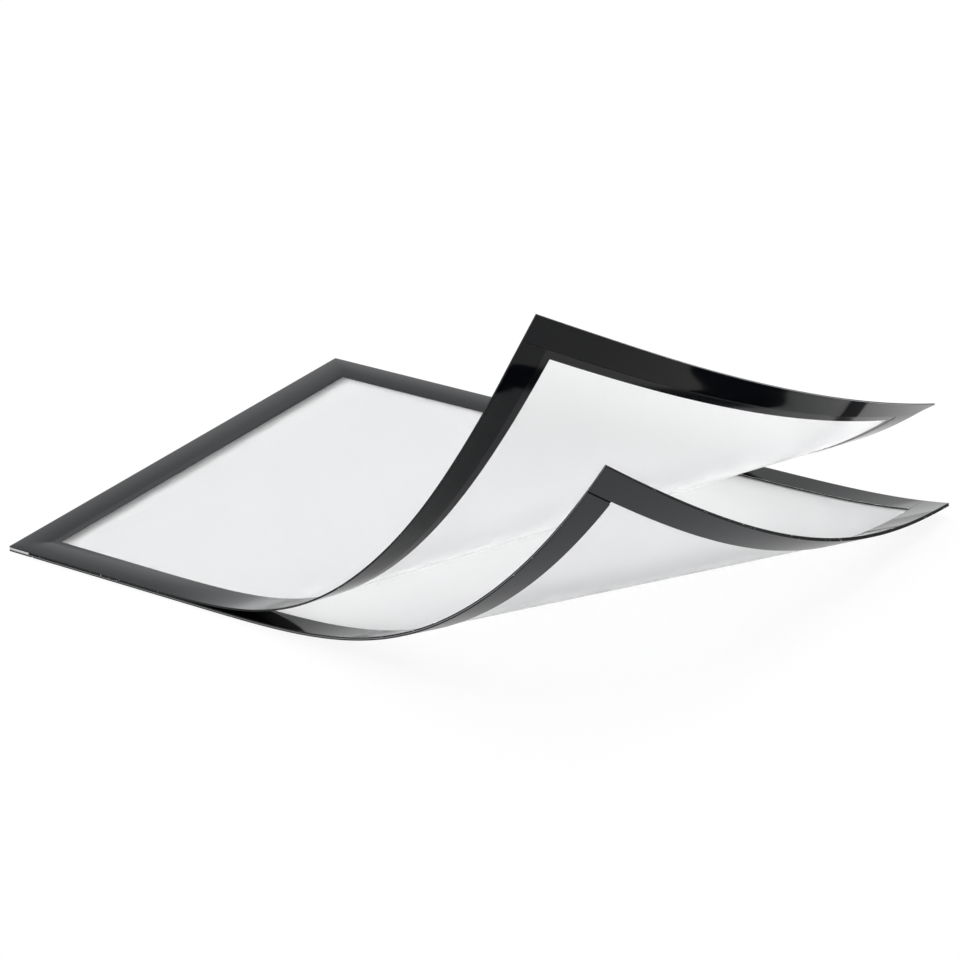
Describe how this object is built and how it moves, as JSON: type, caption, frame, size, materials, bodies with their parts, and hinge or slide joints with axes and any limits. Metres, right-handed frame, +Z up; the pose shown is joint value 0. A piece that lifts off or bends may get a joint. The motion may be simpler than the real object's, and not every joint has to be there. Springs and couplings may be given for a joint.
{
  "type": "magnetic display frame",
  "caption": "Flexible magnetic display frame for an A4 sheet, open: magnet-edged rear film and bordered front flap curled up, flap hinged along one short edge.",
  "frame": {"origin": "middle of the back magnet strip at the bonded edge, on its underside, which clings to steel", "axes": "+Z up out of the surface the frame lies on, +X along the long edges from the bonded edge to the free edge, +Y from the near long edge, whose free corner is lifted, to the far one"},
  "size_m": [0.3229, 0.2409, 0.1461],
  "materials": {
    "window_film": "milky translucent anti-glare film with a soft sheen",
    "back_magnet": "matt dark grey magnet foil",
    "gloss_magnet": "magnet foil under a glossy black skin",
    "satin_border": "satin black border foil",
    "bond_tape": "white double-sided tape, seen at its edge"
  },
  "bodies": {
    "rear_panel": {"rear_film": "window_film", "back_magnet_bonded_edge": "back_magnet", "back_magnet_free_edge": "back_magnet", "back_magnet_near": "back_magnet", "back_magnet_far": "back_magnet", "seat_magnet_free_edge": "gloss_magnet", "seat_magnet_near": "gloss_magnet", "seat_magnet_far": "gloss_magnet", "bond_tape": "bond_tape", "leaf_film": "window_film", "leaf_border": "satin_border", "living_hinge": "window_film"},
    "flap": {"flap_film": "window_film", "flap_border": "satin_border", "flap_magnet_free_edge": "gloss_magnet", "flap_magnet_near": "gloss_magnet", "flap_magnet_far": "gloss_magnet"}
  },
  "joints": [
    {"name": "flap_hinge", "type": "hinge", "parent": "rear_panel", "child": "flap", "pos_m": [0.0057, 0, 0.0022], "axis": [0, -1, 0], "range_deg": [0, 140], "deforming": ["living_hinge"]}
  ]
}
